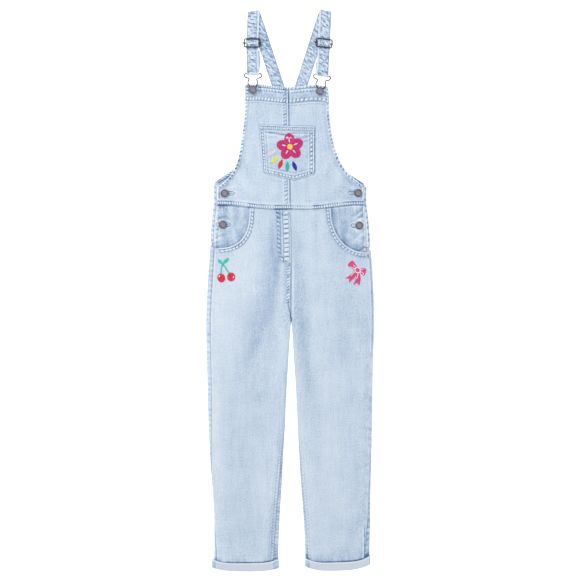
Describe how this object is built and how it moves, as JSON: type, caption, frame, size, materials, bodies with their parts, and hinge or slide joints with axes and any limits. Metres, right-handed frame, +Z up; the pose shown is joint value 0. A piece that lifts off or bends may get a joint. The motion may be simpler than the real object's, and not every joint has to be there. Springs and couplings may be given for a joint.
{
  "type": "bib overalls",
  "caption": "Child's bib overalls in pale washed denim, laid flat, with bib pocket, mock fly, scooped side pockets, turned-up hems and metal-buckled shoulder straps.",
  "frame": {"origin": "middle of the garment's plan, on the surface it lies on", "axes": "+X to the viewer's right (the wearer's left), +Y from the hems up to the shoulder straps, +Z up from the surface through the front of the garment"},
  "size_m": [0.3356, 1.1236, 0.0099],
  "materials": {
    "front_denim": "pale ice-blue washed denim, right side",
    "back_denim": "pale ice-blue washed denim, back panels and button stands",
    "trim_denim": "stitched hems and felled seams of the same denim",
    "strap_denim": "mottled washed denim, sewn double",
    "wrong_side": "paler wrong side of the denim, showing on the turn-ups",
    "hardware": "dark antiqued metal",
    "button": "dark antiqued metal, satin"
  },
  "bodies": {
    "root": {"back_bib": "back_denim", "waist_band": "trim_denim", "mock_fly": "trim_denim", "bib_pocket": "front_denim", "bib_pocket_hem": "front_denim", "back_leg_left": "back_denim", "back_top_band_left": "trim_denim", "side_placket_left": "back_denim", "hip_piece_left": "back_denim", "front_leg_left": "front_denim", "pocket_mouth_left": "trim_denim", "front_bib_left": "front_denim", "bib_top_band_left": "front_denim", "armhole_hem_left": "trim_denim", "cuff_left": "wrong_side", "strap_back_left": "strap_denim", "strap_front_left": "strap_denim", "slider_left": "hardware", "clasp_left": "hardware", "bib_button_left": "button", "side_button_upper_left": "button", "side_button_lower_left": "button", "back_leg_right": "back_denim", "back_top_band_right": "trim_denim", "side_placket_right": "back_denim", "hip_piece_right": "back_denim", "front_leg_right": "front_denim", "pocket_mouth_right": "trim_denim", "front_bib_right": "front_denim", "bib_top_band_right": "front_denim", "armhole_hem_right": "trim_denim", "cuff_right": "wrong_side", "strap_back_right": "strap_denim", "strap_front_right": "strap_denim", "slider_right": "hardware", "clasp_right": "hardware", "bib_button_right": "button", "side_button_upper_right": "button", "side_button_lower_right": "button"}
  },
  "joints": []
}
